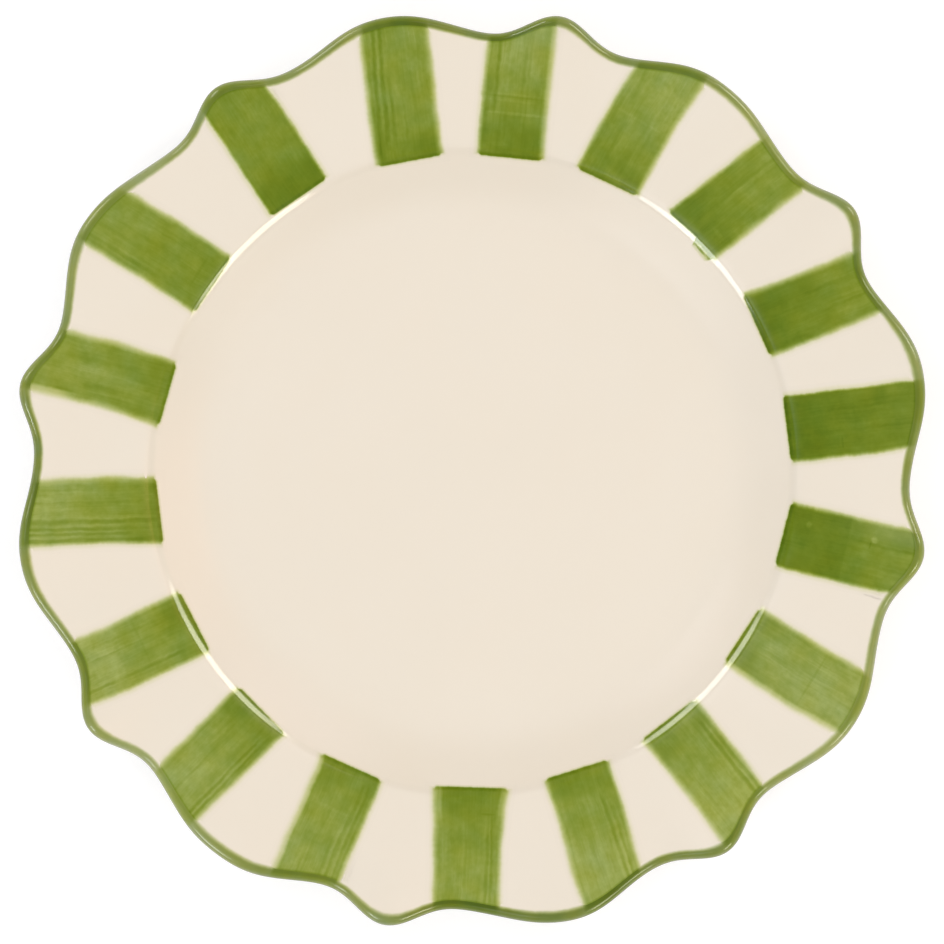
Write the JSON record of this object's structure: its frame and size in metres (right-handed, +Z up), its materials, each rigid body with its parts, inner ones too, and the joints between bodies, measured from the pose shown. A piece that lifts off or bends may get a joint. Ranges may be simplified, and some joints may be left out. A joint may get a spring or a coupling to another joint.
{
  "type": "dinner plate",
  "caption": "Round glazed dinner plate with a flat well, a gently ruffled rim with a wavy outline, painted brush stripes on the rim and a coloured edge line.",
  "frame": {"origin": "centre of the circle that the foot ring stands on, on the table", "axes": "+Z up, out of the well; +X and +Y across the plate, with +X through the gap between the first and last stripes and the stripes numbered counter-clockwise from it"},
  "size_m": [0.2752, 0.2761, 0.0239],
  "materials": {
    "biscuit_clay": "matte",
    "cream_glaze": "gloss",
    "green_colour": "gloss"
  },
  "bodies": {
    "root": {"clay_body": "biscuit_clay", "glaze_coat": "cream_glaze", "recess_glaze": "cream_glaze", "rim_line": "green_colour", "stripe_01": "green_colour", "stripe_02": "green_colour", "stripe_03": "green_colour", "stripe_04": "green_colour", "stripe_05": "green_colour", "stripe_06": "green_colour", "stripe_07": "green_colour", "stripe_08": "green_colour", "stripe_09": "green_colour", "stripe_10": "green_colour", "stripe_11": "green_colour", "stripe_12": "green_colour", "stripe_13": "green_colour", "stripe_14": "green_colour", "stripe_15": "green_colour", "stripe_16": "green_colour", "stripe_17": "green_colour", "stripe_18": "green_colour"}
  },
  "joints": []
}
